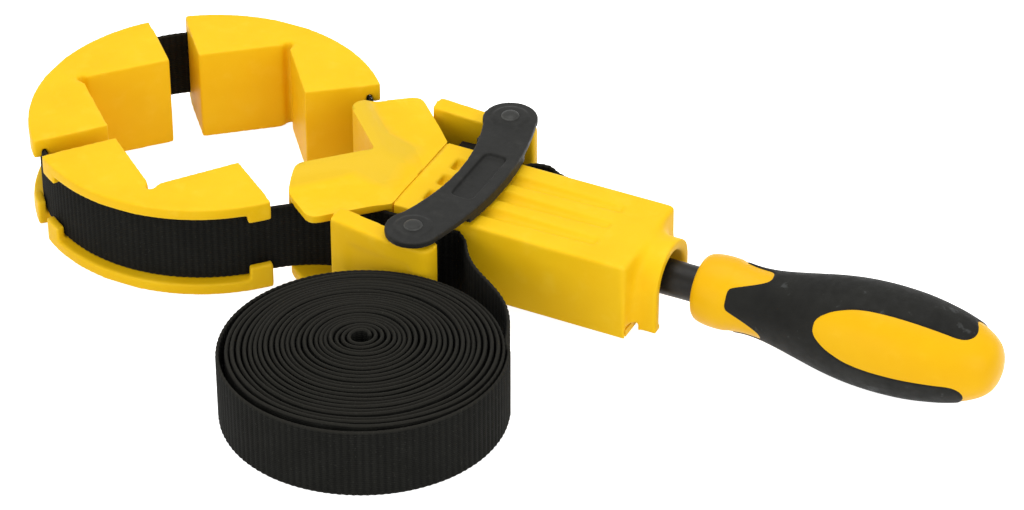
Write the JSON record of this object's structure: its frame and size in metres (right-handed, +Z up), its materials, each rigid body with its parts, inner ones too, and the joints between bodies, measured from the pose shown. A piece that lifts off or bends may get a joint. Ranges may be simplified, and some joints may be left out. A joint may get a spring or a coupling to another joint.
{
  "type": "band clamp",
  "caption": "Band clamp that draws a webbing loop with sliding corner jaws tight by turning a screw handle against a V jaw; a release bar frees the band.",
  "frame": {"origin": "on the table, in the middle of the clamp's length and width, coiled and loose band left out", "axes": "+X along the screw from the loop to the handle's end, +Y across the clamp away from the coil, +Z up from the table"},
  "size_m": [0.345, 0.1903, 0.0384],
  "materials": {
    "yellow_nylon": "fine moulded texture",
    "yellow_handle": "smooth",
    "black_nylon": "satin moulded",
    "grip_rubber": "matt",
    "webbing": "ribbed weave",
    "black_steel": "black oxide",
    "steel": "zinc plated",
    "bronze": "turned"
  },
  "bodies": {
    "housing": {"housing_shell": "yellow_nylon", "base_cover": "yellow_nylon", "cover_screw_1": "steel", "cover_screw_2": "steel", "cover_screw_3": "steel", "cover_screw_4": "steel", "spindle_bush_front": "bronze", "spindle_bush_middle": "bronze", "spindle_bush_rear": "bronze", "thrust_washer_front": "bronze", "thrust_washer_rear": "bronze", "band_loop": "webbing", "band_tail": "webbing", "band_coil": "webbing"},
    "v_head": {"v_jaw": "yellow_nylon", "v_jaw_nut": "steel"},
    "spindle": {"spindle": "black_steel", "handle_core": "yellow_handle", "handle_grip": "grip_rubber"},
    "release": {"release_bar": "black_nylon", "bar_rivet_near": "black_nylon", "bar_rivet_far": "black_nylon", "lock_wedge_near": "black_nylon", "lock_wedge_far": "black_nylon"},
    "jaw_back": {"corner_jaw_back": "yellow_nylon"},
    "jaw_left": {"corner_jaw_left": "yellow_nylon"},
    "jaw_front": {"corner_jaw_front": "yellow_nylon"}
  },
  "joints": [
    {"name": "handle_turn", "type": "hinge", "parent": "housing", "child": "spindle", "pos_m": [0.0775, 0, 0.0185], "axis": [-1, 0, 0], "range_deg": [0, 720]},
    {"name": "v_jaw_slide", "type": "slide", "parent": "housing", "child": "v_head", "axis": [-1, 0, 0], "range_m": [0, 0.008]},
    {"name": "release_slide", "type": "slide", "parent": "housing", "child": "release", "axis": [1, 0, 0], "range_m": [0, 0.005]},
    {"name": "jaw_back_slide", "type": "hinge", "parent": "housing", "child": "jaw_back", "pos_m": [-0.1125, 0, 0], "axis": [0, 0, 1], "range_deg": [0, 6]},
    {"name": "jaw_left_slide", "type": "hinge", "parent": "housing", "child": "jaw_left", "pos_m": [-0.1125, 0, 0], "axis": [0, 0, 1], "range_deg": [-5, 0]},
    {"name": "jaw_front_slide", "type": "hinge", "parent": "housing", "child": "jaw_front", "pos_m": [-0.1125, 0, 0], "axis": [0, 0, 1], "range_deg": [-7, 0]}
  ],
  "couplings": [
    {"joint": "handle_turn", "follows": "v_jaw_slide", "rad_per_m": 1570.8}
  ]
}
